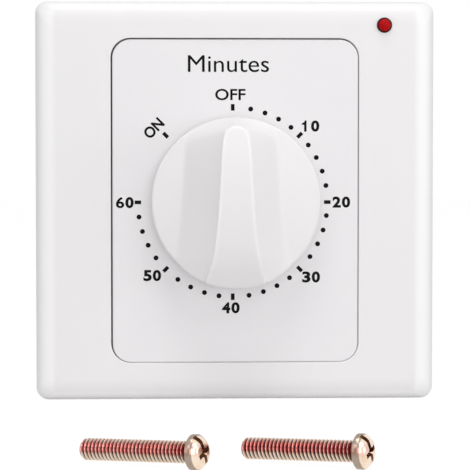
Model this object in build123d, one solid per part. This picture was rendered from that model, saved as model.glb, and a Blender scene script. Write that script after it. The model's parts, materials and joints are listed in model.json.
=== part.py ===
from build123d import *
import os
from math import acos, atan, atan2, cos, degrees, hypot, pi, radians, sin, tan

# Millimetres. X is to the right and Z is up, as the plate hangs on the wall. A level is a height
# from the wall towards the room, so what lies inside the wall box has a level below zero.

overrun = 1.0
rod_sides = 12

# Outer frame
plate_width = 86.0
plate_height = 86.0
plate_depth = 9.0
plate_corner_radius = 2.7
plate_wall = 2.0
shoulder_reach = 4.6
shoulder_drop = 3.4
shoulder_top_radius = 2.2
shoulder_steps = 5
window_lip_wall = 1.2
window_lip_depth = 1.6
catch_width = 6.0
catch_wall = 1.4
catch_spread = 20.0
catch_end_level = 0.5
catch_gap = 0.3
pry_width = 8.0
pry_height = 1.2

# Centre panel
panel_side_margin = 16.6
panel_end_margin = 8.3
panel_corner_radius = 4.0
panel_gap = 0.2
panel_recess = 0.1
panel_thickness = 2.0
panel_wall = 1.6
panel_edge = 0.25
panel_hole_radius = 4.0
peg_width = 2.2
peg_gap = 0.1
peg_side_inset = 8.9
peg_end_inset = 3.2
panel_notch_gap = 0.3

# Base frame behind both, screwed to the wall box
yoke_thickness = 2.2
yoke_edge_gap = 0.4
yoke_corner_cut = 0.8
yoke_rim_wall = 1.2
yoke_rim_height = 1.5
yoke_hole_radius = 5.0
screw_pitch = 60.3
screw_slot_width = 4.5
screw_slot_length = 7.0

# Indicator lamp
lamp_side_inset = 10.7
lamp_top_inset = 5.2
lamp_radius = 1.5
lamp_gap = 0.15
lamp_proud = 1.3
lamp_crown = 0.7
lamp_flange_width = 3.8
lamp_flange_height = 1.0
lamp_seat_width = 5.2
lamp_seat_height = 2.2
lead_width = 2.4
lead_wall = 0.9
lead_gap = 0.15
lead_lift = 1.1
lead_drop_x = 12.4
lead_plate_gap = 1.2
lead_bend_radius = 1.2
lead_tight_radius = 0.6

# Knob
knob_radius = 18.25
knob_gap = 0.7
knob_skirt_height = 5.5
knob_height = 17.0
knob_wall = 1.85
knob_roof = 1.8
knob_flank_radius = 7.0
crest_fall = 0.8
crest_tip_share = 0.85
crest_tip_run = 1.8
crest_bend_share = -0.22
crest_shares = ((0.03, 1.02), (0.135, 0.72), (0.167, 0.55), (0.205, -0.1), (0.262, -0.62),
                (0.35, -0.9), (0.45, -1.08))
slab_reach_share = 1.1
hub_wall = 1.9
core_width = 4.0
core_end = 10.5
core_roof = 5.0
core_web = 0.6
rib_count = 4
rib_wall = 1.2
rib_height = 2.2
knob_spring_wall = 0.4
knob_spring_width = 3.0
knob_spring_length = 5.0
knob_spring_lift = 0.8
knob_spring_gap = 0.05

# Main shaft
shaft_radius = 3.0
shaft_flat = 2.3
shaft_fit = 0.03
shaft_engagement = 7.4
shaft_shoulder_radius = 4.2
shaft_shake = 0.5
journal_radius = 2.2
journal_flat = 1.7
journal_gap = 0.05

# Movement plates and the flat pillars between them
movement_plate_width = 42.0
movement_plate_height = 42.0
movement_plate_cut = 4.0
movement_plate_wall = 1.0
movement_space = 12.0
pillar_wall = 1.2
pillar_width = 3.6
pillar_tab_width = 2.4
pillar_tab_proud = 0.6
pillar_side_inset = 2.0
pillar_end_inset = 5.4
movement_screw_inset = 3.5
movement_screw_radius = 1.4
movement_screw_gap = 0.12
movement_screw_head_radius = 2.6
movement_screw_head_height = 1.5
movement_screw_proud = 0.6
slot_wall = 0.6
slot_depth = 0.6
fit_gap = 0.03

# Wheel train
pressure_angle = 20.0
profile_shift_share = 0.53
backlash = 0.05
addendum_share = 1.0
dedendum_share = 1.25
pinion_addendum_share = 0.8
pinion_teeth = 8
pinion_overlap = 0.3
wheel_wall = 0.8
arbor_radius = 0.9
arbor_sides = 6
pivot_radius = 0.4
pivot_gap = 0.03
arbor_shake = 0.15
wheel_names = ("great", "second", "third", "fourth")
wheel_teeth = (48, 40, 40, 32)
great_module = 0.50
second_module = 0.44
third_module = 0.38
fourth_module = 0.38
great_depth = 2.2
second_depth = 4.0
third_depth = 5.6
fourth_depth = 7.2
wheel_angles = (150.0, 262.5, 300.0, 340.0)
clutch_spring_reach = 7.2
clutch_spring_flat = 3.6
clutch_spring_width = 8.0
clutch_spring_wall = 0.3
clutch_spring_gap = 0.05
clutch_collar_width = 8.0
clutch_collar_wall = 0.4

# Escapement
escape_teeth = 16
escape_radius = 4.5
escape_tooth_depth = 1.3
escape_lean_share = 0.75
escape_wall = 0.6
escape_depth = 8.8
pallet_distance = 6.2
pallet_direction = 0.0
pallet_span = 2.5
pallet_gap = 0.12
pallet_pin_radius = 0.22
pallet_pin_proud = 0.3
pallet_wall = 0.8
pallet_hub_width = 3.2
pallet_arm_width = 1.2
pallet_bar_length = 8.0
pallet_bar_width = 1.4
pallet_weight_width = 2.4
pallet_lift = 0.4

# Mainspring
spring_wall = 0.3
spring_width = 3.2
spring_turns = 4
spring_chords = 12
spring_pitch = 0.85
spring_depth = 8.4
spring_gap = 0.05
lug_width = 1.4
lug_wall = 1.2

# Cam and contacts behind the back plate
cam_radius = 9.0
cam_notch_radius = 7.4
cam_wall = 3.0
cam_depth = 1.8
cam_notch_angle = 20.0
cam_ramp_angle = 12.0
blade_wall = 0.4
blade_width = 2.2
blade_lift = 0.6
blade_root_x = 15.0
blade_end_x = 9.5
blade_nose_width = 4.0
blade_nose_flat = 1.4
nose_gap = 0.1
tail_length = 4.0
contact_x = 7.5
contact_width = 2.0
contact_height = 0.8
contact_gap = 0.8
fixed_blade_wall = 0.6
fixed_blade_end_x = 5.5
block_half_width = 16.0
block_bridge_height = 6.0
block_leg_width = 4.5
block_leg_cover = 1.0
block_depth = 8.0
block_foot_gap = 1.7
block_foot_width = 3.0
block_foot_x = 9.0
block_lug_width = 4.6
block_lug_height = 2.6
strip_width = 2.8
strip_wall = 0.6
strip_gap = 0.05

# Rear housing
housing_depth = 28.0
housing_wall = 1.8
movement_room = 2.7
terminal_room = 10.7
housing_corner_radius = 3.0
housing_edge = 0.8
housing_tongue_width = 8.0
housing_tongue_wall = 1.4
housing_tongue_gap = 0.2
column_width = 6.0
column_inset = 3.9
case_screw_radius = 1.3
case_screw_gap = 0.15
case_screw_head_radius = 2.3
case_screw_head_height = 1.6
case_screw_recess = 2.4
case_boss_width = 5.2
case_boss_height = 3.6
case_screw_bite = 4.4

# Terminals
terminal_side_room = 6.2
terminal_width = 7.0
terminal_height = 7.6
terminal_length = 9.0
terminal_wall = 1.2
terminal_lift = 0.3
terminal_screw_radius = 1.6
terminal_screw_head_radius = 2.4
terminal_screw_length = 3.0
terminal_screw_head_height = 1.6
terminal_screw_end_gap = 0.2
clamp_wall = 1.0
clamp_gap = 0.15
wire_entry_radius = 1.7
driver_hole_width = 5.6

# Loose mounting screws
bolt_radius = 1.95
bolt_length = 22.0
bolt_head_radius = 3.1
bolt_head_height = 2.4
bolt_head_rim = 1.1
bolt_crown_radius = 1.9
bolt_chamfer = 0.5
bolt_slot_wall = 0.9
bolt_slot_depth = 1.3
bolt_slot_angle = 113.0
bolt_yaw_angle = 30.0
bolt_spacing = 28.5
bolt_tip_x = -29.3
bolt_tip_y = -80.6

# Levels and places worked out from the sizes above
panel_width = plate_width - 2 * panel_side_margin
panel_height = plate_height - 2 * panel_end_margin
lamp_x = plate_width / 2 - lamp_side_inset
lamp_z = plate_height / 2 - lamp_top_inset
peg_x = panel_width / 2 - peg_side_inset
peg_z = panel_height / 2 - peg_end_inset
wheel_modules = (great_module, second_module, third_module, fourth_module)
wheel_depths = (great_depth, second_depth, third_depth, fourth_depth)
pillar_x = movement_plate_width / 2 - pillar_side_inset
pillar_z = movement_plate_height / 2 - pillar_end_inset
movement_screw_x = movement_plate_width / 2 - movement_screw_inset
block_top = movement_plate_height / 2
lead_hole_z = movement_plate_height / 2 + lead_plate_gap
housing_width = movement_plate_width + 2 * (movement_room + housing_wall)
housing_top = movement_plate_height / 2 + movement_room + housing_wall
housing_bottom = -movement_plate_height / 2 - terminal_room - housing_wall
terminal_spacing = housing_width / 2 - housing_wall - terminal_side_room - terminal_width / 2
column_x = housing_width / 2 - column_inset
column_z = housing_bottom + column_inset
panel_level = plate_depth - panel_recess
panel_back_level = panel_level - panel_thickness
frame_ceiling_level = plate_depth - plate_wall
frame_inner_width = plate_width - 2 * plate_wall
frame_inner_height = plate_height - 2 * plate_wall
yoke_width = frame_inner_width - 2 * yoke_edge_gap
yoke_height = frame_inner_height - 2 * yoke_edge_gap
knob_back_level = panel_level + knob_gap
knob_floor_level = knob_back_level + knob_skirt_height
knob_roof_level = knob_floor_level - knob_roof
knob_crest_level = knob_back_level + knob_height
shaft_front_level = knob_back_level + shaft_engagement
front_plate_back = -movement_plate_wall
back_plate_front = front_plate_back - movement_space
back_plate_back = back_plate_front - movement_plate_wall
great_wheel_front = front_plate_back - wheel_depths[0]
great_wheel_back = great_wheel_front - wheel_wall
cam_front = back_plate_back - cam_depth
cam_back = cam_front - cam_wall
shaft_back_level = cam_back - movement_plate_wall
pillar_places = [(sx * pillar_x, sz * pillar_z) for sx in (-1, 1) for sz in (-1, 1)]
movement_screw_places = [(side * movement_screw_x, 0) for side in (-1, 1)]
column_places = [(side * column_x, column_z) for side in (-1, 1)]
peg_places = [(sx * peg_x, sz * peg_z) for sx in (-1, 1) for sz in (-1, 1)]
lead_run_angle = degrees(atan2(lamp_z - lead_hole_z, lamp_x - lead_drop_x))
lead_level = yoke_thickness + lead_lift


def turned(radius, angle, centre=(0, 0)):
    return (centre[0] + radius * cos(radians(angle)), centre[1] + radius * sin(radians(angle)))


def facing(level):
    return Plane(origin=(0, -level, 0), x_dir=(1, 0, 0), z_dir=(0, -1, 0))


def between(sketch, back, front):
    return extrude(facing(back) * sketch, amount=front - back)


def spots(shape, places):
    return Sketch() + [Pos(x, z) * shape for x, z in places]


def post(radius, back, front, places=((0, 0),)):
    return between(spots(Circle(radius), places), back, front)


def rod(radius, back, front, places):
    # A small turned piece, drawn with flat sides whose corners lie on the radius
    return between(spots(RegularPolygon(radius, rod_sides), places), back, front)


def rod_hole(radius, back, front, places):
    # Its hole, whose flats lie on the radius, so that the piece turns freely in it
    outline = RegularPolygon(radius, rod_sides, major_radius=False)
    return between(spots(outline, places), back, front)


def bar_between(start, end, width):
    # A flat bar whose square ends stand half its width past the two points
    length = hypot(end[0] - start[0], end[1] - start[1])
    angle = degrees(atan2(end[1] - start[1], end[0] - start[0]))
    middle = ((start[0] + end[0]) / 2, (start[1] + end[1]) / 2)
    return Pos(*middle) * Rot(0, 0, angle) * Rectangle(length + width, width)


def d_section(radius, flat):
    return Circle(radius) - Pos(flat + radius, 0) * Rectangle(2 * radius, 2 * radius)


def slotted_head(radius, height, shank, length, seat, direction, places):
    # A cheese-head screw whose head stands off a seat level and whose shank goes the other way
    top = seat + direction * height
    end = seat - direction * length
    body = rod(radius, min(seat, top), max(seat, top), places)
    body += rod(shank, min(seat, end), max(seat, end), places)
    floor = top - direction * slot_depth
    over = top + direction * overrun
    cut = spots(Rectangle(2 * (radius + overrun), slot_wall), places)
    return body - between(cut, min(floor, over), max(floor, over))


# Face plate pieces


def shoulder_outline(turn):
    reach = shoulder_reach * (1 - cos(radians(turn)))
    level = plate_depth - shoulder_drop * (1 - sin(radians(turn)))
    corner = plate_corner_radius + (shoulder_top_radius - plate_corner_radius) * turn / 90
    outline = RectangleRounded(plate_width - 2 * reach, plate_height - 2 * reach, corner)
    return facing(level) * outline


def catch_places():
    reach = frame_inner_height / 2 - catch_wall / 2
    return [(sx * catch_spread, sz * reach) for sx in (-1, 1) for sz in (-1, 1)]


def outer_frame():
    outline = RectangleRounded(plate_width, plate_height, plate_corner_radius)
    body = between(outline, 0, plate_depth - shoulder_drop)
    turns = [90 * k / shoulder_steps for k in range(shoulder_steps + 1)]
    body += loft([shoulder_outline(turn) for turn in turns], ruled=True)
    inside = Rectangle(frame_inner_width, frame_inner_height)
    body -= between(inside, -overrun, frame_ceiling_level)
    window = RectangleRounded(
        panel_width + 2 * panel_gap, panel_height + 2 * panel_gap, panel_corner_radius + panel_gap
    )
    lip = Rectangle(
        panel_width + 2 * (panel_gap + window_lip_wall), panel_height + 2 * (panel_gap + window_lip_wall)
    )
    body += between(lip, frame_ceiling_level - window_lip_depth, frame_ceiling_level)
    body -= between(window, -overrun, plate_depth + overrun)
    body += between(
        spots(Rectangle(catch_width, catch_wall), catch_places()), catch_end_level, frame_ceiling_level
    )
    body -= post(lamp_radius + lamp_gap, 0, plate_depth + overrun, [(lamp_x, lamp_z)])
    pry = Pos(0, -plate_height / 2) * Rectangle(pry_width, 2 * (plate_wall + overrun))
    return body - between(pry, -overrun, pry_height)


def lead_channel():
    width = lead_width + 2 * lead_gap
    return bar_between((lamp_x, lamp_z), (lead_drop_x, lead_hole_z), width)


def centre_panel():
    outline = RectangleRounded(panel_width, panel_height, panel_corner_radius)
    body = between(outline, yoke_thickness, panel_level)
    front = body.faces().sort_by(Axis.Y)[0]
    body = chamfer(front.edges(), panel_edge)
    inside = Rectangle(panel_width - 2 * panel_wall, panel_height - 2 * panel_wall)
    body -= between(inside, 0, panel_back_level)
    body -= post(panel_hole_radius, 0, plate_depth + overrun)
    notch = Rectangle(case_boss_width + 2 * panel_notch_gap, case_boss_width + 2 * panel_notch_gap)
    notch_end = yoke_thickness + case_boss_height + panel_notch_gap
    body -= between(spots(notch, column_places), 0, notch_end)
    head_width = 2 * (movement_screw_head_radius + panel_notch_gap)
    head_end = yoke_thickness + movement_screw_head_height + panel_notch_gap
    body -= between(spots(Rectangle(head_width, head_width), movement_screw_places), 0, head_end)
    body += between(spots(Rectangle(peg_width, peg_width), peg_places), 0, panel_back_level)
    return body - between(lead_channel(), 0, lead_level + lead_wall / 2 + lead_gap)


def base_frame():
    outline = chamfer(Rectangle(yoke_width, yoke_height).vertices(), yoke_corner_cut)
    rim = outline - Rectangle(yoke_width - 2 * yoke_rim_wall, yoke_height - 2 * yoke_rim_wall)
    seat = Pos(lamp_x, lamp_z) * Rectangle(lamp_seat_width, lamp_seat_width)
    body = between(outline, 0, yoke_thickness)
    body += between(rim, 0, yoke_thickness + yoke_rim_height)
    body += between(seat, 0, yoke_thickness + lamp_seat_height)
    bosses = spots(Rectangle(case_boss_width, case_boss_width), column_places)
    body += between(bosses, 0, yoke_thickness + case_boss_height)
    high = yoke_thickness + max(yoke_rim_height, lamp_seat_height) + overrun
    notches = spots(
        Rectangle(catch_width + 2 * catch_gap, catch_wall + 2 * catch_gap), catch_places()
    )
    wall_slots = spots(
        SlotOverall(screw_slot_length, screw_slot_width), [(side * screw_pitch / 2, 0) for side in (-1, 1)]
    )
    peg_holes = spots(Rectangle(peg_width + 2 * peg_gap, peg_width + 2 * peg_gap), peg_places)
    lead_slot = Pos(lead_drop_x, lead_hole_z) * Rot(0, 0, lead_run_angle) * Rectangle(
        lead_wall + 2 * lead_gap, lead_width + 2 * lead_gap
    )
    tongue_slot = tongue_outline(housing_tongue_gap)
    for opening in (notches, wall_slots, peg_holes, lead_slot, tongue_slot):
        body -= between(opening, -overrun, high)
    body -= post(yoke_hole_radius, -overrun, high)
    body -= rod_hole(movement_screw_radius + movement_screw_gap, -overrun, high, movement_screw_places)
    body -= rod_hole(case_screw_radius + fit_gap, -overrun, case_screw_bite + fit_gap, column_places)
    return body - between(lead_channel(), yoke_thickness, high)


def indicator_lamp():
    seat = yoke_thickness + lamp_seat_height
    top = plate_depth + lamp_proud
    crown_radius = (lamp_radius ** 2 + lamp_crown ** 2) / (2 * lamp_crown)
    dome = post(lamp_radius, top - lamp_crown, top) & Pos(0, crown_radius - top, 0) * Sphere(crown_radius)
    body = dome + post(lamp_radius, seat, top - lamp_crown)
    body += between(Rectangle(lamp_flange_width, lamp_flange_width), seat, seat + lamp_flange_height)
    return Pos(lamp_x, 0, lamp_z) * body


def indicator_lead():
    # A flat two-core lead: back out of the lamp, across the base frame, then back to the contact block
    path = FilletPolyline(
        (lamp_x, -yoke_thickness - lamp_seat_height, lamp_z),
        (lamp_x, -lead_level, lamp_z),
        (lead_drop_x, -lead_level, lead_hole_z),
        (lead_drop_x, -block_front, lead_hole_z),
        radius=[lead_tight_radius, lead_bend_radius],
    )
    flat = (cos(radians(lead_run_angle + 90)), 0, sin(radians(lead_run_angle + 90)))
    start = Plane(origin=path @ 0, x_dir=flat, z_dir=path % 0)
    return sweep(start * Rectangle(lead_width, lead_wall), path=path)


# Knob


def grip_section(half_share, height_share):
    # A cut straight across the grip bar: its crest, its two flanks and the skirt that they run out on
    half = half_share * knob_radius
    foot = half + knob_flank_radius
    reach = slab_reach_share * knob_radius
    knee = knob_floor_level + knob_flank_radius
    top = knob_crest_level + overrun
    flank = TangentArc((foot, knob_floor_level), (half, knee), tangent=(-1, 0))
    crest = Polyline((half, knee), (half, top), (-half, top), (-half, knee))
    other = TangentArc((-foot, knob_floor_level), (-half, knee), tangent=(1, 0))
    base = Polyline(
        (-foot, knob_floor_level), (-reach, knob_floor_level), (-reach, knob_back_level),
        (reach, knob_back_level), (reach, knob_floor_level), (foot, knob_floor_level),
    )
    height = height_share * knob_radius
    across = Plane(origin=(0, 0, height), x_dir=(1, 0, 0), z_dir=(0, 0, -1))
    return across * make_face([flank, crest, other, base])


def crest_space():
    # All that lies in front of the crest, drawn from the side as levels over heights
    tip = crest_tip_share * knob_radius
    bend = crest_bend_share * knob_radius
    far = 2 * knob_radius
    high = 2 * knob_crest_level
    top = Line((tip, knob_crest_level), (bend, knob_crest_level - crest_fall))
    slope = TangentArc(top @ 1, (-knob_radius, knob_floor_level), tangent=top % 1)
    rest = Polyline(
        slope @ 1, (-far, knob_floor_level), (-far, high), (far, high), (far, knob_floor_level),
        (tip + crest_tip_run, knob_floor_level), top @ 0,
    )
    side = Plane(origin=(-far, 0, 0), x_dir=(0, 0, 1), z_dir=(1, 0, 0))
    return extrude(side * make_face([top, slope, rest]), amount=2 * far)


def knob():
    blank = loft([grip_section(half, height) for half, height in crest_shares], ruled=True)
    body = blank & post(knob_radius, knob_back_level - overrun, knob_crest_level + 2 * overrun)
    body -= crest_space()
    roof = knob_roof_level
    hub_radius = shaft_radius + shaft_fit + hub_wall
    cavity = Circle(knob_radius - knob_wall) - Circle(hub_radius)
    body -= between(cavity, knob_back_level - overrun, roof)
    core_start = hub_radius + core_web
    core_places = [(0, side * (core_end + core_start) / 2) for side in (-1, 1)]
    core = spots(Rectangle(core_width, core_end - core_start), core_places)
    body -= between(core, roof - overrun, knob_crest_level - core_roof)
    rib_start = shaft_radius + hub_wall
    rib_end = knob_radius - knob_wall / 2
    rib = Pos((rib_start + rib_end) / 2, 0) * Rectangle(rib_end - rib_start, rib_wall)
    ribs = Sketch() + [Rot(0, 0, 360 * (k + 0.5) / rib_count) * rib for k in range(rib_count)]
    body += between(ribs, roof - rib_height, roof)
    bore = d_section(shaft_radius + shaft_fit, shaft_flat + shaft_fit)
    body -= between(bore, knob_back_level - overrun, shaft_front_level + shaft_fit)
    return body - knob_spring_space(knob_spring_gap)


def knob_spring_space(gap):
    # The leaf lies between the shaft's flat and the bore's
    near = shaft_flat + shaft_fit
    wall = knob_spring_wall + gap
    leaf = Pos(near + wall / 2, 0) * Rectangle(wall, knob_spring_width + 2 * gap)
    back = knob_back_level + knob_spring_lift
    return between(leaf, back - gap, back + knob_spring_length + gap)


def knob_spring():
    return knob_spring_space(0)


# Movement


def main_shaft():
    seat_back = back_plate_front + shaft_shake
    body = between(d_section(shaft_radius, shaft_flat), panel_level, shaft_front_level)
    body += post(shaft_radius, great_wheel_back, panel_level)
    body += post(shaft_shoulder_radius, seat_back, great_wheel_back)
    body += post(journal_radius, cam_front, seat_back)
    return body + between(d_section(journal_radius, journal_flat), shaft_back_level, cam_front)


def plate_outline():
    return chamfer(Rectangle(movement_plate_width, movement_plate_height).vertices(), movement_plate_cut)


def arbor_places():
    # The arbors follow one another at the centre distances of their wheels and pinions
    places = [(0, 0)]
    for teeth, module, direction in zip(wheel_teeth, wheel_modules, wheel_angles):
        places.append(turned(module * (teeth + pinion_teeth) / 2, direction, places[-1]))
    places.append(turned(pallet_distance, pallet_direction, places[-1]))
    return places


def pierced_plate(back, front, shaft_hole_radius):
    body = between(plate_outline(), back, front)
    low = back - overrun
    high = front + overrun
    tab = Rectangle(pillar_wall + 2 * fit_gap, pillar_tab_width + 2 * fit_gap)
    body -= between(spots(tab, pillar_places), low, high)
    body -= post(shaft_hole_radius, low, high)
    return body - rod_hole(pivot_radius + pivot_gap, low, high, arbor_places()[1:])


def front_plate():
    body = pierced_plate(front_plate_back, 0, shaft_radius + journal_gap)
    radius = movement_screw_radius + fit_gap
    return body - rod_hole(radius, front_plate_back - overrun, overrun, movement_screw_places)


def spring_start():
    # The inner turn's chords clear the shaft's shoulder
    return (shaft_shoulder_radius + spring_gap) / cos(pi / spring_chords) + spring_wall / 2


def back_plate():
    body = pierced_plate(back_plate_back, back_plate_front, journal_radius + journal_gap)
    spring_end = spring_start() + spring_turns * spring_pitch
    lug = Pos(spring_end + spring_wall / 2 + spring_gap + lug_wall / 2, 0) * Rectangle(lug_wall, lug_width)
    return body + between(lug, back_plate_back, front_plate_back - spring_depth)


def plate_pillars():
    # Flat pillars whose tabs pass through both plates and are staked over
    strip_outline = Rectangle(pillar_wall, pillar_width)
    tab = Rectangle(pillar_wall, pillar_tab_width)
    body = between(spots(strip_outline, pillar_places), back_plate_front, front_plate_back)
    return body + between(spots(tab, pillar_places), back_plate_back - pillar_tab_proud, 0)


def movement_screws():
    length = yoke_thickness + movement_plate_wall + movement_screw_proud
    return slotted_head(
        movement_screw_head_radius, movement_screw_head_height, movement_screw_radius,
        length, yoke_thickness, 1, movement_screw_places,
    )


def involute(angle):
    return tan(angle) - angle


def tooth_half_angle(teeth, module, shift, radius):
    # Half the tooth's angle at a radius, in radians, less half the backlash
    pressure = radians(pressure_angle)
    pitch = teeth * module / 2
    base = pitch * cos(pressure)
    here = acos(base / max(radius, base))
    full = (pi / 2 + 2 * shift * tan(pressure)) / teeth + involute(pressure) - involute(here)
    return full - backlash / (2 * pitch)


def gear_outline(teeth, module, shift, addendum, phase):
    pitch = teeth * module / 2
    radii = (pitch - module * (dedendum_share - shift), pitch + module * (addendum + shift))
    points = []
    for tooth in range(teeth):
        middle = radians(phase + 360 * tooth / teeth)
        sides = [(r, tooth_half_angle(teeth, module, shift, r)) for r in radii]
        points += [(r * cos(middle - a), r * sin(middle - a)) for r, a in sides]
        points += [(r * cos(middle + a), r * sin(middle + a)) for r, a in reversed(sides)]
    return make_face(Polyline(*points, close=True))


def arbor_bore(place):
    return Pos(*place) * RegularPolygon(arbor_radius + fit_gap, arbor_sides)


def wheel(index):
    teeth = wheel_teeth[index]
    place = arbor_places()[index]
    outline = gear_outline(
        teeth, wheel_modules[index], -profile_shift_share, addendum_share, wheel_angles[index]
    )
    bore = Circle(shaft_radius + fit_gap) if index == 0 else arbor_bore(place)
    front = front_plate_back - wheel_depths[index]
    return between(Pos(*place) * outline - bore, front - wheel_wall, front)


def arbor(place):
    # A drawn hexagon bar with a round pivot turned at each end
    bar = Pos(*place) * RegularPolygon(arbor_radius, arbor_sides)
    body = between(bar, back_plate_front + arbor_shake, front_plate_back - arbor_shake)
    return body + rod(pivot_radius, back_plate_back + arbor_shake, -arbor_shake, [place])


def pinion(index):
    # The pinion that the wheel of the same index drives, on its own arbor
    place = arbor_places()[index + 1]
    phase = wheel_angles[index] + 180 + 180 / pinion_teeth
    outline = gear_outline(
        pinion_teeth, wheel_modules[index], profile_shift_share, pinion_addendum_share, phase
    )
    front = front_plate_back - wheel_depths[index] + pinion_overlap
    teeth = between(Pos(*place) * outline, front - wheel_wall - 2 * pinion_overlap, front)
    return arbor(place) + teeth


def clutch_spring():
    # A bowed leaf that presses the great wheel against the shaft's shoulder
    collar_back = front_plate_back - shaft_shake - clutch_collar_wall
    high = collar_back - clutch_spring_gap
    low = great_wheel_front + clutch_spring_gap
    flat = clutch_spring_flat
    reach = clutch_spring_reach
    wall = clutch_spring_wall
    profile = make_face(Polyline(
        (-reach, low), (-flat, high - wall), (flat, high - wall), (reach, low),
        (reach, low + wall), (flat, high), (-flat, high), (-reach, low + wall), close=True,
    ))
    across = Plane(origin=(0, 0, clutch_spring_width / 2), x_dir=(1, 0, 0), z_dir=(0, 0, -1))
    leaf = extrude(across * profile, amount=clutch_spring_width)
    return leaf - post(shaft_radius + fit_gap, low - overrun, high + overrun)


def clutch_collar():
    front = front_plate_back - shaft_shake
    outline = Rectangle(clutch_collar_width, clutch_collar_width) - Circle(shaft_radius + fit_gap)
    return between(outline, front - clutch_collar_wall, front)


def escape_wheel():
    place = arbor_places()[-2]
    pitch = 360 / escape_teeth
    root = escape_radius - escape_tooth_depth
    points = []
    for tooth in range(escape_teeth):
        angle = pallet_direction + pitch * tooth
        points += [turned(root, angle - escape_lean_share * pitch), turned(escape_radius, angle)]
    outline = Pos(*place) * make_face(Polyline(*points, close=True)) - arbor_bore(place)
    front = front_plate_back - escape_depth
    return between(outline, front - escape_wall, front)


def pallet_pin_places():
    # At mid swing both pins stand just outside the escape wheel's teeth
    reach = escape_radius + pallet_pin_radius + pallet_gap
    half = pallet_span * 360 / escape_teeth / 2
    return [turned(reach, pallet_direction + side * half, arbor_places()[-2]) for side in (-1, 1)]


def pallet_lever():
    hub = arbor_places()[-1]
    pins = pallet_pin_places()
    ends = [turned(pallet_bar_length / 2, pallet_direction + side * 90, hub) for side in (-1, 1)]
    outline = Pos(*hub) * Rectangle(pallet_hub_width, pallet_hub_width)
    outline += [bar_between(hub, pin, pallet_arm_width) for pin in pins]
    outline += bar_between(ends[0], ends[1], pallet_bar_width)
    outline += spots(Rectangle(pallet_weight_width, pallet_weight_width), ends)
    outline -= arbor_bore(hub)
    front = front_plate_back - escape_depth - escape_wall - pallet_lift
    body = between(outline, front - pallet_wall, front)
    pin_front = front_plate_back - escape_depth + pallet_pin_proud
    return body + rod(pallet_pin_radius, front - pallet_wall, pin_front, pins)


def pallet_arbor():
    return arbor(arbor_places()[-1])


def mainspring():
    # A flat spiral in straight chords, from the shaft's shoulder out to the back plate's lug
    def side(offset):
        chords = range(spring_turns * spring_chords + 1)
        radius = spring_start() + offset
        return [turned(radius + k * spring_pitch / spring_chords, 360 * k / spring_chords) for k in chords]

    band = Polyline(*side(-spring_wall / 2), *reversed(side(spring_wall / 2)), close=True)
    front = front_plate_back - spring_depth
    return between(make_face(band), front - spring_width, front)


# Cam and contacts


def cam_disc():
    half = cam_notch_angle / 2
    far = cam_radius + overrun
    notch = make_face(Polyline(
        turned(cam_notch_radius, 90 - half), turned(far, 90 - half - cam_ramp_angle),
        turned(far, 90 + half + cam_ramp_angle), turned(cam_notch_radius, 90 + half),
        (0, cam_notch_radius), close=True,
    ))
    outline = Circle(cam_radius) - notch - d_section(journal_radius + fit_gap, journal_flat + fit_gap)
    return between(outline, cam_back, cam_front)


blade_level = cam_front - cam_wall / 2
blade_z = cam_radius + blade_lift
fixed_z = blade_z + blade_wall + 2 * contact_height + contact_gap
block_front = back_plate_back - block_foot_gap
block_back = block_front - block_depth


def banded(outline, width):
    return between(outline, blade_level - width / 2, blade_level + width / 2)


def contact_blade():
    low = cam_notch_radius + nose_gap
    half = blade_nose_width / 2
    flat = blade_nose_flat / 2
    under = [(-blade_root_x, blade_z), (-half, blade_z), (-flat, low), (flat, low), (half, blade_z),
             (blade_end_x, blade_z)]
    over = [(x, z + blade_wall) for x, z in reversed(under)]
    tail = Pos(-blade_root_x + blade_wall / 2, blade_z - tail_length / 2 + blade_wall / 2)
    outline = make_face(Polyline(*under, *over, close=True))
    return banded(outline + tail * Rectangle(blade_wall, tail_length + blade_wall), blade_width)


def fixed_blade():
    middle = (fixed_blade_end_x + blade_root_x) / 2
    outline = Pos(middle, fixed_z + fixed_blade_wall / 2) * Rectangle(
        blade_root_x - fixed_blade_end_x, fixed_blade_wall
    )
    tail = Pos(blade_root_x - fixed_blade_wall / 2, fixed_z - tail_length / 2 + fixed_blade_wall / 2)
    return banded(outline + tail * Rectangle(fixed_blade_wall, tail_length + fixed_blade_wall), blade_width)


def contact_points():
    centres = (blade_z + blade_wall + contact_height / 2, fixed_z - contact_height / 2)
    bars = spots(Rectangle(contact_width, contact_height), [(contact_x, z) for z in centres])
    return banded(bars, contact_width)


def contact_block():
    bridge_low = block_top - block_bridge_height
    bridge = Rectangle(2 * block_half_width, block_bridge_height)
    outline = Pos(0, block_top - block_bridge_height / 2) * bridge
    for side, low in ((-1, blade_z - block_leg_cover), (1, fixed_z - block_leg_cover)):
        x = side * (block_half_width - block_leg_width / 2)
        outline += Pos(x, (low + bridge_low) / 2) * Rectangle(block_leg_width, bridge_low - low)
    lug = Rectangle(block_lug_width, 2 * block_lug_height)
    outline += Pos(lead_drop_x, block_top) * lug
    body = between(outline, block_back, block_front)
    foot_places = [(side * block_foot_x, block_top - block_bridge_height / 2) for side in (-1, 1)]
    feet = spots(Rectangle(block_foot_width, block_foot_width), foot_places)
    body += between(feet, block_front, back_plate_back)
    return body - contact_blade() - fixed_blade()


def strip(side, top):
    x = side * (blade_root_x + strip_gap + strip_wall / 2)
    low = terminal_top + strip_gap
    return banded(Pos(x, (top + low) / 2) * Rectangle(strip_wall, top - low), strip_width)


# Rear housing and terminals

terminal_bottom = housing_bottom + housing_wall + terminal_lift
terminal_top = terminal_bottom + terminal_height
housing_back = -housing_depth
terminal_back = housing_back + housing_wall + terminal_screw_head_height + terminal_lift
terminal_front = terminal_back + terminal_length
clamp_back = terminal_back + terminal_screw_length + terminal_screw_end_gap
terminal_xs = (-terminal_spacing, 0, terminal_spacing)
terminal_z = terminal_bottom + terminal_height / 2
wire_entry_level = (clamp_back + clamp_wall + terminal_front - terminal_wall) / 2


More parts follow.
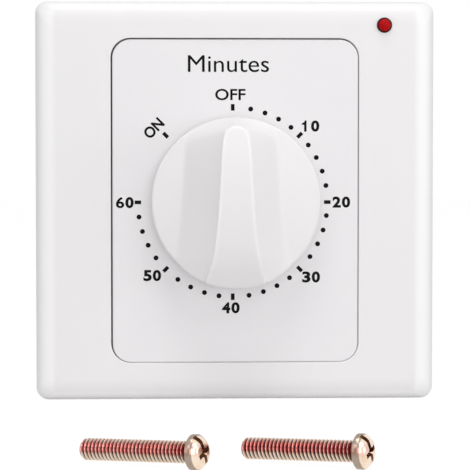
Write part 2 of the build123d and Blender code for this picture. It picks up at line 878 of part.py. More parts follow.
def housing_outline():
    outline = RectangleRounded(housing_width, housing_top - housing_bottom, housing_corner_radius)
    return Pos(0, (housing_top + housing_bottom) / 2) * outline


def housing_inside():
    height = housing_top - housing_bottom - 2 * housing_wall
    inside = Rectangle(housing_width - 2 * housing_wall, height)
    return Pos(0, (housing_top + housing_bottom) / 2) * inside


def tongue_outline(gap):
    # The housing's top wall reaches through the base frame in a short tongue
    tongue = Rectangle(housing_tongue_width + 2 * gap, housing_tongue_wall + 2 * gap)
    return Pos(0, housing_top - housing_tongue_wall / 2) * tongue


def rear_housing():
    body = between(housing_outline(), housing_back, 0)
    body = chamfer(body.faces().sort_by(Axis.Y)[-1].edges(), housing_edge)
    columns = spots(Rectangle(column_width, column_width), column_places)
    body -= between(housing_inside() - columns, housing_back + housing_wall, overrun)
    body += between(tongue_outline(0), -housing_wall, yoke_thickness)
    body -= rod_hole(case_screw_radius + case_screw_gap, housing_back - overrun, overrun, column_places)
    head_radius = case_screw_head_radius + case_screw_gap
    recess_level = housing_back + case_screw_recess
    body -= rod_hole(head_radius, housing_back - overrun, recess_level, column_places)
    windows = spots(Rectangle(driver_hole_width, driver_hole_width), [(x, terminal_z) for x in terminal_xs])
    body -= between(windows, housing_back - overrun, housing_back + housing_wall + overrun)
    entry = Cylinder(wire_entry_radius, 2 * (housing_wall + overrun))
    return body - [Pos(x, -wire_entry_level, housing_bottom) * entry for x in terminal_xs]


def housing_screws():
    seat = housing_back + case_screw_recess
    return slotted_head(
        case_screw_head_radius, case_screw_head_height, case_screw_radius,
        case_screw_bite - seat, seat, -1, column_places,
    )


def terminal(x):
    # A bent brass cage, open below, where the wire goes in, with its screw through the back wall
    block = Pos(x, terminal_z) * Rectangle(terminal_width, terminal_height)
    inside = Pos(x, terminal_z - terminal_wall) * Rectangle(
        terminal_width - 2 * terminal_wall, terminal_height
    )
    body = between(block, terminal_back, terminal_front)
    body -= between(inside, terminal_back + terminal_wall, terminal_front - terminal_wall)
    hole_end = terminal_back + 2 * terminal_wall
    hole_radius = terminal_screw_radius + fit_gap
    return body - rod_hole(hole_radius, terminal_back - overrun, hole_end, [(x, terminal_z)])


def terminal_screws():
    return slotted_head(
        terminal_screw_head_radius, terminal_screw_head_height, terminal_screw_radius,
        terminal_screw_length, terminal_back, -1, [(x, terminal_z) for x in terminal_xs],
    )


def terminal_clamps():
    width = terminal_width - 2 * (terminal_wall + clamp_gap)
    height = terminal_height - terminal_wall - 2 * clamp_gap
    places = [(x, terminal_z - terminal_wall / 2) for x in terminal_xs]
    return between(spots(Rectangle(width, height), places), clamp_back, clamp_back + clamp_wall)


# Loose mounting screws


def bolt_blank():
    # Along Z from the point at zero to the crown of the head
    top = bolt_length + bolt_head_height
    rim = bolt_length + bolt_head_rim
    stations = (
        (bolt_radius - bolt_chamfer, 0), (bolt_radius, bolt_chamfer), (bolt_radius, bolt_length),
        (bolt_head_radius, bolt_length), (bolt_head_radius, rim), (bolt_crown_radius, top),
    )
    sections = [Pos(0, 0, level) * RegularPolygon(radius, rod_sides) for radius, level in stations]
    spans = [sections[0:3], sections[3:6]]
    body = Part() + [loft(span, ruled=True) for span in spans]
    slot = Box(2 * (bolt_head_radius + overrun), bolt_slot_wall, 2 * bolt_slot_depth)
    return body - Pos(0, 0, top) * Rot(0, 0, bolt_slot_angle) * slot


def mounting_screws():
    # Each lies on the edge of its head and the edge of its point, level with the plate's lower edge
    tilt = atan((bolt_head_radius - bolt_radius) / (bolt_length - bolt_chamfer))
    height = bolt_radius * cos(tilt) - bolt_chamfer * sin(tilt)
    yaw = radians(bolt_yaw_angle)
    axis = (cos(yaw) * cos(tilt), -sin(yaw) * cos(tilt), sin(tilt))
    across = (sin(yaw), cos(yaw), 0)
    screws = []
    for k in range(2):
        origin = (bolt_tip_x + k * bolt_spacing, bolt_tip_y, -plate_height / 2 + height)
        screws.append(Plane(origin=origin, x_dir=across, z_dir=axis) * bolt_blank())
    return Part() + screws


def sub_parts():
    parts = {
        "outer_frame": outer_frame(),
        "centre_panel": centre_panel(),
        "base_frame": base_frame(),
        "indicator_lamp": indicator_lamp(),
        "indicator_lead": indicator_lead(),
        "knob": knob(),
        "knob_spring": knob_spring(),
        "main_shaft": main_shaft(),
        "front_plate": front_plate(),
        "back_plate": back_plate(),
        "plate_pillars": plate_pillars(),
        "movement_screws": movement_screws(),
        "clutch_spring": clutch_spring(),
        "clutch_collar": clutch_collar(),
        "escape_wheel": escape_wheel(),
        "pallet_lever": pallet_lever(),
        "pallet_arbor": pallet_arbor(),
        "mainspring": mainspring(),
        "cam_disc": cam_disc(),
        "contact_blade": contact_blade(),
        "fixed_blade": fixed_blade(),
        "contact_points": contact_points(),
        "contact_block": contact_block(),
        "line_strip": strip(-1, blade_z - block_leg_cover - strip_gap),
        "load_strip": strip(1, fixed_z - block_leg_cover - strip_gap),
        "rear_housing": rear_housing(),
        "housing_screws": housing_screws(),
        "terminal_screws": terminal_screws(),
        "terminal_clamps": terminal_clamps(),
        "mounting_screws": mounting_screws(),
    }
    for index, name in enumerate(wheel_names):
        parts[f"{name}_wheel"] = wheel(index)
        driven = (wheel_names + ("escape",))[index + 1]
        parts[f"{driven}_pinion"] = pinion(index)
    for name, x in zip(("line", "neutral", "load"), terminal_xs):
        parts[f"{name}_terminal"] = terminal(x)
    return parts


os.makedirs("parts", exist_ok=True)
for name, piece in sub_parts().items():
    export_step(piece, f"parts/{name}.step")
    print(name, len(piece.solids()), round(piece.volume, 2))
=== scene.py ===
import json
from math import atan2, cos, hypot, pi, radians, sin, sqrt

import bmesh
import bpy
from mathutils import Matrix, Vector


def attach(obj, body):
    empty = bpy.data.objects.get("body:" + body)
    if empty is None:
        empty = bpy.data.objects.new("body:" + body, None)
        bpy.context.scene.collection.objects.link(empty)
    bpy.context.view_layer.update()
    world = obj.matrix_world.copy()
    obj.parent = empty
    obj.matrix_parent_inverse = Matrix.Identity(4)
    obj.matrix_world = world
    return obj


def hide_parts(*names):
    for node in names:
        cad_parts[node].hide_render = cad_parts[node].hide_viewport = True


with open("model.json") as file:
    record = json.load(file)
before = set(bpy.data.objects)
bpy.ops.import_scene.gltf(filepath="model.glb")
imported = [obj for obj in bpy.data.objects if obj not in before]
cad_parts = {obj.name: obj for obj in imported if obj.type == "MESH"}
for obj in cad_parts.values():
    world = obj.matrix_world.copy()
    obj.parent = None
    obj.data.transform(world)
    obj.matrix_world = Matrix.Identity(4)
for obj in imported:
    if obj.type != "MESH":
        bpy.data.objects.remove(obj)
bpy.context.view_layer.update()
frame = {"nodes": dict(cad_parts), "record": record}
mm = 0.001


class Field:
    # A number that changes over a surface: an expression on Fields adds its Math nodes

    def __init__(self, nodes, socket):
        self.nodes = nodes
        self.socket = socket

    def math(self, operation, *values):
        return self.nodes.value("ShaderNodeMath", {"operation": operation}, dict(enumerate(values)))

    def __add__(self, other):
        return self.math("ADD", self, other)

    def __sub__(self, other):
        return self.math("SUBTRACT", self, other)

    def __mul__(self, other):
        return self.math("MULTIPLY", self, other)

    def clamped(self):
        return self.nodes.value("ShaderNodeClamp", {}, {"Value": self})


class NodeTree:
    # The nodes of a world or a material, all made by one method

    def __init__(self, owner):
        owner.use_nodes = True
        self.tree = owner.node_tree

    def first(self, kind):
        return next(node for node in self.tree.nodes if node.type == kind)

    def node(self, kind, settings=None, inputs=None):
        made = self.tree.nodes.new(kind)
        for key, value in (settings or {}).items():
            if key == "stops":
                elements = made.color_ramp.elements
                for k, (position, colour) in enumerate(value):
                    stop = elements[k] if k < 2 else elements.new(position)
                    stop.position = position
                    stop.color = (*colour, 1)
            else:
                setattr(made, key, value)
        for key, value in (inputs or {}).items():
            self.join(value, made.inputs[key])
        return made

    def join(self, value, target):
        source = value.socket if isinstance(value, Field) else value
        if isinstance(source, bpy.types.NodeSocket):
            self.tree.links.new(source, target)
        elif target.type == "RGBA":
            target.default_value = (*source[:3], 1)
        else:
            target.default_value = source

    def value(self, kind, settings, inputs, output=0):
        return Field(self, self.node(kind, settings, inputs).outputs[output])

    def seenPlainly(self):
        # 1 for rays from the camera, mirrors and glass, which see the plain white ground
        path = self.node("ShaderNodeLightPath").outputs
        camera = Field(self, path["Is Camera Ray"])
        mirror = Field(self, path["Is Glossy Ray"])
        glass = Field(self, path["Is Transmission Ray"])
        return (camera + mirror + glass).clamped()

    def blended(self, factor, first, second):
        return self.node("ShaderNodeMixShader", {}, {0: factor, 1: first, 2: second}).outputs[0]


class Paint(NodeTree):
    # One material, with its Principled shader

    def __init__(self, name, settings):
        self.material = bpy.data.materials.new(name)
        super().__init__(self.material)
        self.shader = self.first("BSDF_PRINCIPLED")
        for socket, value in settings.items():
            self.join(value, self.shader.inputs[socket])
        self.place = self.node("ShaderNodeTexCoord").outputs["Object"]

    def feed(self, **sockets):
        for name, value in sockets.items():
            self.join(value, self.shader.inputs[name.replace("_", " ")])

    def stretched(self, x=1.0, y=1.0, z=1.0):
        return self.node("ShaderNodeVectorMath", {"operation": "MULTIPLY"}, {
            0: self.place, 1: (x, y, z),
        }).outputs["Vector"]

    def noise(self, grainMm, detail=2.0, place=None):
        return self.value("ShaderNodeTexNoise", {}, {
            "Vector": place or self.place, "Scale": 1 / (grainMm * mm), "Detail": detail,
        }, "Fac")

    def painted(self, name):
        # A number that mesh code has left on the points
        return self.value("ShaderNodeAttribute", {"attribute_name": name}, {}, "Fac")

    def spread(self, field, low, high, start=0.0, end=1.0):
        return self.value("ShaderNodeMapRange", {}, {
            "Value": field, "From Min": start, "From Max": end, "To Min": low, "To Max": high,
        })

    def tint(self, factor, first, second):
        mix = self.node("ShaderNodeMix", {"data_type": "RGBA"}, {
            "Factor": factor, 6: first, 7: second,
        })
        return mix.outputs[2]

    def bumped(self, height, depthMm, strength=1.0):
        bump = self.node("ShaderNodeBump", {}, {
            "Height": height, "Distance": depthMm * mm, "Strength": strength,
        })
        self.feed(Normal=bump.outputs["Normal"])


def linear(red, green, blue):
    # A colour as it is seen on a screen, from 0 to 255, made linear
    return tuple(
        (c / 255 / 12.92) if c < 11 else ((c / 255 + 0.055) / 1.055) ** 2.4
        for c in (red, green, blue)
    )


# Moulded plastics: two near colours, the range of roughness, grain size and depth in mm, and for two of them
# the colour of a painted highlight
mouldings = {
    "whiteFrame": {
        "pale": (242, 240, 241), "deep": (240, 238, 239), "rough": (0.34, 0.42),
        "grain": 0.5, "depth": 0.0015, "highlightColour": (255, 254, 255),
    },
    "whitePanel": {
        "pale": (241, 239, 240), "deep": (238, 236, 238), "rough": (0.34, 0.42),
        "grain": 0.35, "depth": 0.002,
    },
    "whiteKnob": {
        "pale": (243, 241, 242), "deep": (241, 239, 240), "rough": (0.34, 0.4),
        "grain": 0.6, "depth": 0.001, "highlightColour": (251, 249, 250),
    },
    "greyMoulding": {
        "pale": (196, 198, 200), "deep": (184, 187, 190), "rough": (0.42, 0.56),
        "grain": 0.45, "depth": 0.015,
    },
    "darkMoulding": {
        "pale": (62, 52, 44), "deep": (44, 37, 32), "rough": (0.3, 0.45),
        "grain": 0.6, "depth": 0.01,
    },
    "camNylon": {
        "pale": (232, 228, 214), "deep": (220, 214, 198), "rough": (0.35, 0.48),
        "grain": 0.7, "depth": 0.006,
    },
    "leadSheath": {
        "pale": (178, 38, 34), "deep": (150, 28, 26), "rough": (0.4, 0.5),
        "grain": 0.4, "depth": 0.008,
    },
}
plasticIor = 1.5
mottleMm = 9.0
glossMm = 3.0
cloudDetail = 3.0
grainDetail = 4.0


def moulded(name):
    # Slight mottling, a fine grain from the mould and uneven gloss, with a painted highlight where the mesh
    # carries one
    look = mouldings[name]
    paint = Paint(name, {"IOR": plasticIor})
    mottle = paint.noise(mottleMm, cloudDetail)
    colour = paint.tint(mottle, linear(*look["deep"]), linear(*look["pale"]))
    # Painted highlight: the colour is lightened towards the highlight colour where the mesh code has marked
    # it
    if "highlightColour" in look:
        colour = paint.tint(paint.painted("paintedHighlight").clamped(), colour, linear(*look["highlightColour"]))
    paint.feed(Base_Color=colour, Roughness=paint.spread(paint.noise(glossMm), *look["rough"]))
    paint.bumped(paint.noise(look["grain"], grainDetail), look["depth"])
    return paint.material


# Metals: two near colours, the range of roughness, and how far the drawn lines are stretched
metals = {
    "plateSteel": {
        "pale": (202, 204, 205), "deep": (178, 181, 184), "rough": (0.24, 0.4), "lines": (0.2, 6.0, 8.0),
    },
    "wheelBrass": {
        "pale": (226, 192, 112), "deep": (202, 164, 84), "rough": (0.22, 0.38), "lines": (3.0, 0.3, 3.0),
    },
    "contactBrass": {
        "pale": (222, 184, 104), "deep": (196, 154, 78), "rough": (0.26, 0.42), "lines": (0.3, 5.0, 6.0),
    },
    "contactSilver": {
        "pale": (232, 232, 230), "deep": (208, 208, 206), "rough": (0.2, 0.34), "lines": (2.0, 2.0, 2.0),
    },
    "zincScrew": {
        "pale": (206, 208, 210), "deep": (184, 187, 190), "rough": (0.26, 0.42), "lines": (2.0, 2.0, 2.0),
    },
}
lineMm = 0.35
patchMm = 4.0
lineDepthMm = 0.004
lineShare = 0.6


def metal(name):
    # Drawn or stamped metal: fine lines along one way, with patches where it has dulled
    look = metals[name]
    paint = Paint(name, {"Metallic": 1.0})
    lines = paint.noise(lineMm, cloudDetail, paint.stretched(*look["lines"]))
    patches = paint.noise(patchMm)
    paint.feed(
        Base_Color=paint.tint(patches, linear(*look["deep"]), linear(*look["pale"])),
        Roughness=paint.spread(lines * lineShare + patches * (1 - lineShare), *look["rough"]),
    )
    paint.bumped(lines, lineDepthMm)
    return paint.material


plating = {
    "rose": (196, 88, 90), "blush": (228, 156, 144), "straw": (240, 210, 172), "pale": (250, 236, 226),
    "grooveShade": (48, 6, 12), "paleGrooveShade": (52, 28, 26), "driftMm": 1.6, "sway": 0.8,
    "fineMm": 0.4, "rough": (0.14, 0.26), "depth": 0.004,
}


def platedScrew():
    # Yellow passivated zinc with drifting film colours; a painted reflection makes a rose band above the axis
    # and pale film on top and below, and painted shade darkens the thread roots, the recess and the side of
    # the head
    look = plating
    paint = Paint("platedScrew", {"Metallic": 1.0})
    drift = paint.noise(look["driftMm"], cloudDetail)
    fine = paint.noise(look["fineMm"])
    # Painted reflection: the film is rose on a band of the upper side and pale elsewhere, mixed with a random
    # drift
    low = (paint.painted("reflectionPale") + (drift - 0.5) * look["sway"]).clamped()
    upper = paint.tint(drift, linear(*look["rose"]), linear(*look["blush"]))
    lower = paint.tint(drift, linear(*look["straw"]), linear(*look["pale"]))
    shadedGrooves = paint.tint(low, linear(*look["grooveShade"]), linear(*look["paleGrooveShade"]))
    ridges = paint.tint(low, upper, lower)
    paint.feed(
        # Painted shade: the marked grooves, recess and head side take a dark colour
        Base_Color=paint.tint(paint.painted("grooveShade").clamped(), ridges, shadedGrooves),
        Roughness=paint.spread(fine, *look["rough"]),
    )
    paint.bumped(fine, look["depth"])
    return paint.material


# Small glossy parts: two near colours, roughness, cloud size and depth in mm, and fixed shader values
glosses = {
    "redLens": {
        "deep": (146, 0, 4), "pale": (206, 8, 16), "rough": (0.06, 0.14), "cloud": 0.7, "depth": 0.006,
        "fixed": {"IOR": 1.49, "Specular IOR Level": 0.08},
    },
    "lampCollar": {
        "deep": (24, 4, 5), "pale": (52, 8, 10), "rough": (0.25, 0.4), "cloud": 0.5, "depth": 0.01,
        "fixed": {"IOR": 1.49, "Specular IOR Level": 0.2},
    },
    "printInk": {
        "deep": (5, 5, 6), "pale": (16, 16, 17), "rough": (0.5, 0.65), "cloud": 0.25, "depth": 0.003,
        "fixed": {"IOR": 1.45, "Specular IOR Level": 0.12},
    },
}


def glossed(name):
    look = glosses[name]
    paint = Paint(name, look["fixed"])
    cloud = paint.noise(look["cloud"], cloudDetail)
    paint.feed(
        Base_Color=paint.tint(cloud, linear(*look["deep"]), linear(*look["pale"])),
        Roughness=paint.spread(cloud, *look["rough"]),
    )
    paint.bumped(cloud, look["depth"])
    return paint.material


print("materials")
finish = {name: moulded(name) for name in mouldings}
finish.update({name: metal(name) for name in metals})
finish.update({name: glossed(name) for name in glosses})
finish["platedScrew"] = platedScrew()
slotFinish = {
    "white_frame": "whiteFrame", "white_panel": "whitePanel", "white_knob": "whiteKnob",
    "grey_moulding": "greyMoulding", "dark_moulding": "darkMoulding", "red_lens": "redLens",
    "lead_sheath": "leadSheath", "plate_steel": "plateSteel", "wheel_brass": "wheelBrass",
    "contact_brass": "contactBrass", "contact_silver": "contactSilver", "cam_nylon": "camNylon",
    "plated_screw": "platedScrew", "zinc_screw": "zincScrew",
}
for subpart in frame["record"]["subparts"]:
    for holder in frame["nodes"][subpart["node"]].material_slots:
        holder.material = finish[slotFinish[subpart["material_slot"]]]


def piece(name, mesh, body, material, replaced=()):
    made = loose(name, mesh)
    if not mesh.materials:
        mesh.materials.append(finish[material])
    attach(made, body)
    if replaced:
        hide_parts(*replaced)
    return made


def loose(name, data):
    made = bpy.data.objects.new(name, data)
    bpy.context.scene.collection.objects.link(made)
    return made


def within(value):
    # Held between 0 and 1
    return max(0.0, min(1.0, value))


def eased(share):
    # A share from 0 to 1 that starts and ends gently
    return share ** 2 * (3 - 2 * share)


def creased(shape, smoothAngle):
    # All faces smooth, with the edges sharper than the angle kept sharp
    for face in shape.faces:
        face.smooth = True
    for edge in shape.edges:
        edge.smooth = len(edge.link_faces) == 2 and edge.calc_face_angle(0) < radians(smoothAngle)


def meshOf(shape, name):
    mesh = bpy.data.meshes.new(name)
    shape.to_mesh(mesh)
    shape.free()
    return mesh


weldMm = 0.0015
sliverMm = 0.001
cutWeldMm = 0.0005
overrun = 1


def finished(shape, name, smoothAngle=35):
    # The shape cleaned and made into a mesh
    bmesh.ops.remove_doubles(shape, verts=shape.verts, dist=weldMm * mm)
    bmesh.ops.dissolve_degenerate(shape, edges=shape.edges, dist=sliverMm * mm)
    bmesh.ops.recalc_face_normals(shape, faces=shape.faces)
    creased(shape, smoothAngle)
    return meshOf(shape, name)


def stacked(shape, rings, closed=True):
    # Rings of equally many points joined one to the next, and the last to the first if closed
    loops = [[shape.verts.new(point) for point in ring] for ring in rings]
    pairs = list(zip(loops, loops[1:])) + ([(loops[-1], loops[0])] if closed else [])
    for first, second in pairs:
        for k in range(len(first)):
            after = (k + 1) % len(first)
            shape.faces.new((first[k], first[after], second[after], second[k]))
    return loops


def capped(shape, rings):
    loops = stacked(shape, rings, False)
    shape.faces.new(loops[0])
    shape.faces.new(loops[-1])


def roundedSquare(halfX, halfZ, corner, level, middle=(0, 0), steps=10):
    # A rounded square seen from the front, at a level towards the room
    points = []
    for quarter, (sx, sz) in enumerate(((1, 1), (-1, 1), (-1, -1), (1, -1))):
        for k in range(steps + 1):
            turn = radians(90 * (quarter + k / steps))
            x = middle[0] + sx * (halfX - corner) + corner * cos(turn)
            z = middle[1] + sz * (halfZ - corner) + corner * sin(turn)
            points.append((x * mm, -level * mm, z * mm))
    return points


def circle(radius, level, count=96, centre=(0, 0)):
    turns = [2 * pi * k / count for k in range(count)]
    return [
        ((centre[0] + radius * cos(turn)) * mm, -level * mm, (centre[1] + radius * sin(turn)) * mm)
        for turn in turns
    ]


def boxMesh(name, low, high):
    shape = bmesh.new()
    bmesh.ops.create_cube(shape, size=1.0)
    for vert in shape.verts:
        vert.co = Vector([(l + (h - l) * (c + 0.5)) * mm for l, h, c in zip(low, high, vert.co)])
    return finished(shape, name)


def cutAway(target, cutters, smoothAngle=30):
    # Takes closed cutters out of a piece, clears them and marks the cut's edges sharp
    for cutter in cutters:
        cutting = target.modifiers.new("cut", "BOOLEAN")
        cutting.operation = "DIFFERENCE"
        cutting.solver = "EXACT"
        cutting.object = cutter
    bpy.context.view_layer.update()
    ready = target.evaluated_get(bpy.context.evaluated_depsgraph_get())
    cut = bpy.data.meshes.new_from_object(ready)
    target.modifiers.clear()
    for cutter in cutters:
        bpy.data.objects.remove(cutter)
    shape = bmesh.new()
    shape.from_mesh(cut)
    bmesh.ops.remove_doubles(shape, verts=shape.verts, dist=cutWeldMm * mm)
    creased(shape, smoothAngle)
    shape.to_mesh(cut)
    shape.free()
    target.data = cut


def evenShading(target):
    # Large faces rule the shading, so flats stay flat beside their rounded edges
    weighting = target.modifiers.new("evenShading", "WEIGHTED_NORMAL")
    weighting.keep_sharp = True
    weighting.weight = 100


def softEdges(target, width):
    bevel = target.modifiers.new("edges", "BEVEL")
    bevel.width = width * mm
    bevel.segments = 2


outerFrame = {
    "half": 43.0, "depth": 9.0, "corner": 2.7, "topCorner": 2.2, "wall": 2.0, "reach": 4.6, "drop": 3.4,
    "ceiling": 7.0, "windowHalf": (26.64, 34.87), "windowMiddle": (-0.09, 0.11), "windowCorner": 4.2,
    "edge": 0.22, "lipWall": 1.2, "lipDepth": 1.6, "lampCentre": (32.0, 37.8), "lampHole": 1.65,
    "lampAround": 48, "catch": (6.0, 1.4, 0.5), "catchSpread": 20.0, "catchEdge": 0.2, "pry": (8.0, 1.2),
    "backEdge": 0.15, "plainCorner": 0.05, "highlightBand": (0.3, 1.6, 3.4, 4.55), "shoulderSteps": 20,
    "edgeSteps": 5, "smooth": 30,
}


def frameRings():
    # From the back edge up the outside, over the shoulder, into the window and along the inside
    size = outerFrame
    half, corner, depth, foot = size["half"], size["corner"], size["depth"], size["backEdge"]
    wide, tall = size["windowHalf"]
    middle = size["windowMiddle"]
    rings = [
        roundedSquare(half - foot, half - foot, corner - foot, 0),
        roundedSquare(half, half, corner, foot),
    ]
    for k in range(size["shoulderSteps"] + 1):
        share = k / size["shoulderSteps"]
        turn = radians(90 * share)
        side = half - size["reach"] * (1 - cos(turn))
        level = depth - size["drop"] * (1 - sin(turn))
        turned = corner + (size["topCorner"] - corner) * share
        rings.append(roundedSquare(side, side, turned, level))
    for k in range(size["edgeSteps"] + 1):
        turn = radians(90 * k / size["edgeSteps"])
        grown = size["edge"] * (1 - sin(turn))
        level = depth - size["edge"] * (1 - cos(turn))
        rounding = size["windowCorner"] + grown
        rings.append(roundedSquare(wide + grown, tall + grown, rounding, level, middle))
    lip, ceiling, sharp = size["lipWall"], size["ceiling"], size["plainCorner"]
    lipBack = ceiling - size["lipDepth"]
    inner = half - size["wall"]
    return rings + [
        roundedSquare(wide, tall, size["windowCorner"], lipBack, middle),
        roundedSquare(wide + lip, tall + lip, sharp, lipBack),
        roundedSquare(wide + lip, tall + lip, sharp, ceiling),
        roundedSquare(inner, inner, sharp, ceiling),
        roundedSquare(inner, inner, sharp, 0),
    ]


def makeOuterFrame():
    size = outerFrame
    half, inner = size["half"], size["half"] - size["wall"]
    shape = bmesh.new()
    stacked(shape, frameRings())
    mesh = finished(shape, "faceFrame", size["smooth"])
    made = piece("faceFrame", mesh, "cover", "whiteFrame", ["outer_frame"])
    cutter = bmesh.new()
    capped(cutter, [
        circle(size["lampHole"], level, size["lampAround"], size["lampCentre"])
        for level in (0, size["depth"] + overrun)
    ])
    hole = loose("lampCutter", finished(cutter, "lampCutter"))
    width, height = size["pry"]
    low = (-width / 2, -height, -half - overrun)
    high = (width / 2, overrun, -inner + overrun)
    notch = loose("notchCutter", boxMesh("notchCutter", low, high))
    cutAway(made, [hole, notch])
    evenShading(made)
    # Painted highlight: a band down the left and right shoulders is lightened in colour, fading out towards
    # the top and bottom edges
    paintedHighlight = made.data.attributes.new("paintedHighlight", "FLOAT", "POINT")
    start, full, ease, end = size["highlightBand"]
    for vert, share in zip(made.data.vertices, paintedHighlight.data):
        inward = half - abs(vert.co.x) / mm
        if -vert.co.y > (size["depth"] - size["drop"]) * mm:
            across = min((inward - start) / (full - start), (end - inward) / (end - ease))
            share.value = within(min(across, (half - abs(vert.co.z) / mm) / end))


def makeSnapCatches():
    size = outerFrame
    inner = size["half"] - size["wall"]
    width, wall, end = size["catch"]
    for sx in (-1, 1):
        for sz in (-1, 1):
            x = sx * size["catchSpread"]
            low, high = sorted((sz * inner, sz * (inner - wall)))
            corners = (x - width / 2, -size["ceiling"], low), (x + width / 2, -end, high)
            mesh = boxMesh("snapCatch", *corners)
            softEdges(piece("snapCatch", mesh, "cover", "whiteFrame"), size["catchEdge"])


slotShield = {"span": (25.9, 28.0), "levels": (2.2, 2.6), "half": 2.4, "edge": 0.1}


def makeSlotShields():
    # Thin plates that close the inner ends of the wall slots, which the panel's gap looks into
    size = slotShield
    near, far = size["span"]
    low, high = size["levels"]
    for left, right in ((-far, -near), (near, far)):
        mesh = boxMesh("slotShield", (left, -high, -size["half"]), (right, -low, size["half"]))
        softEdges(piece("slotShield", mesh, "switch", "greyMoulding"), size["edge"])


print("outer frame")
makeOuterFrame()
makeSnapCatches()
makeSlotShields()


knobLook = {
    "radius": 18.0, "back": 9.6, "backEdge": 0.25, "floor": 15.1, "dome": 0.95, "rim": 0.55, "wall": 1.85,
    "roof": 12.6, "edge": 0.5, "edgeHighlight": 0.36, "tip": 16.25, "tipRound": 2.1, "barMiddle": -0.33,
    "flanks": (7.8, 6.9), "fillets": (0.9, 2.0), "flankSlopes": (1.12, 1.34), "flankBend": 0.026,
    "fadeFrom": 2.0, "fadeTo": 18.0, "fadeShare": 0.88, "endRun": 2.6, "endFrom": 4.0, "endBlend": 8.0,
    "footRun": 7.0, "footShare": 0.64, "rows": 230, "slopeStep": 0.03, "rimInset": 0.02, "smooth": 50,
    "facing": 0.02, "rimReach": 1.1, "bendGap": 0.04, "crestMarks": 8, "edgeMarks": 7, "flankMarks": 20,
    "skirtMarks": 8, "rimMarks": 7,
    "widths": (
        (-1.08, 0.425), (-0.9, 0.352), (-0.62, 0.274), (-0.1, 0.216), (0.4, 0.186), (0.61, 0.175),
        (0.76, 0.156), (0.83, 0.133), (0.9, 0.1), (1.02, 0.05),
    ),
    "crest": (
        (-18.4, 17.95), (-17.0, 19.55), (-14.8, 22.0), (-13.7, 23.07), (-12.5, 23.95), (-11.0, 24.75),
        (-8.9, 25.47), (-6.3, 25.97), (-3.0, 26.31), (1.0, 26.53), (5.0, 26.6), (8.5, 26.52), (11.5, 26.2),
        (14.0, 25.65), (16.3, 24.9), (18.4, 24.1),
    ),
}


def smoothThrough(points, at):
    # A monotone cubic through points given in rising order
    slopes = [(q[1] - p[1]) / (q[0] - p[0]) for p, q in zip(points, points[1:])]
    inner = [2 * a * b / (a + b) if a * b > 0 else 0.0 for a, b in zip(slopes, slopes[1:])]
    tangents = [slopes[0]] + inner + [slopes[-1]]
    k = max(i for i in range(len(slopes)) if i == 0 or points[i][0] <= at)
    span = points[k + 1][0] - points[k][0]
    t = (at - points[k][0]) / span
    return (
        (2 * t ** 3 - 3 * t ** 2 + 1) * points[k][1]
        + (t ** 3 - 2 * t ** 2 + t) * span * tangents[k]
        + (3 * t ** 2 - 2 * t ** 3) * points[k + 1][1]
        + (t ** 3 - t ** 2) * span * tangents[k + 1]
    )


def gripHalfWidth(z):
    return knobLook["radius"] * smoothThrough(knobLook["widths"], z / knobLook["radius"])


def flankRise(side, across, z, out):
    # The slope up to the bar, which ends beyond the tip, with a fillet where it leaves the dome
    size = knobLook
    run = size["flanks"][side] - max(across, 0)
    if run <= 0:
        return 0
    fillet = size["fillets"][side]
    rise = size["flankSlopes"][side] * (run ** 2 / (2 * fillet) if run < fillet else run - fillet / 2)
    rise -= size["flankBend"] * run ** 2 / 2
    ending = within((size["radius"] - out) / size["endRun"])
    high = within((z - size["endFrom"]) / size["endBlend"])
    rise *= 1 - high * (1 - eased(ending))
    low = within((z + size["radius"]) / size["footRun"])
    rise *= size["footShare"] + (1 - size["footShare"]) * eased(low)
    share = within((size["fadeTo"] - z) / (size["fadeTo"] - size["fadeFrom"]))
    return rise * (size["fadeShare"] + (1 - size["fadeShare"]) * eased(share))


def outsideBar(x, z):
    # How far a point is beyond the bar's outline, which is round at the tip
    size = knobLook
    past = z + min(abs(x), size["tipRound"]) ** 2 / (2 * size["tipRound"]) - size["tip"]
    return max(abs(x) - gripHalfWidth(z), past)


def knobHeight(x, z):
    size = knobLook
    out = hypot(x, z)
    dome = size["floor"] - size["dome"] * (out / size["radius"]) ** 2
    x -= size["barMiddle"]
    across = outsideBar(x, z)
    edge = size["edge"]
    crest = smoothThrough(size["crest"], z)
    flank = dome + flankRise(int(x > 0), abs(x) - gripHalfWidth(z), z, out)
    if across < 0:
        if across > -edge:
            crest -= edge - sqrt(edge ** 2 - (across + edge) ** 2)
        level = crest if z < 0 else max(crest, flank)
    else:
        level = min(crest - edge, flank)
    out -= size["radius"] - size["rim"]
    if out > 0:
        level -= size["rim"] - sqrt(max(size["rim"] ** 2 - out ** 2, 0))
    return level


def knobNormal(x, z):
    # From the slope of the height, taken a little inside the rim
    size = knobLook
    pull = min(1.0, (size["radius"] - size["rimInset"] - size["slopeStep"]) / max(hypot(x, z), mm))
    x, z, step = x * pull, z * pull, size["slopeStep"]
    slopeX = (knobHeight(x + step, z) - knobHeight(x - step, z)) / (2 * step)
    slopeZ = (knobHeight(x, z + step) - knobHeight(x, z - step)) / (2 * step)
    return Vector((-slopeX, -1, -slopeZ)).normalized()


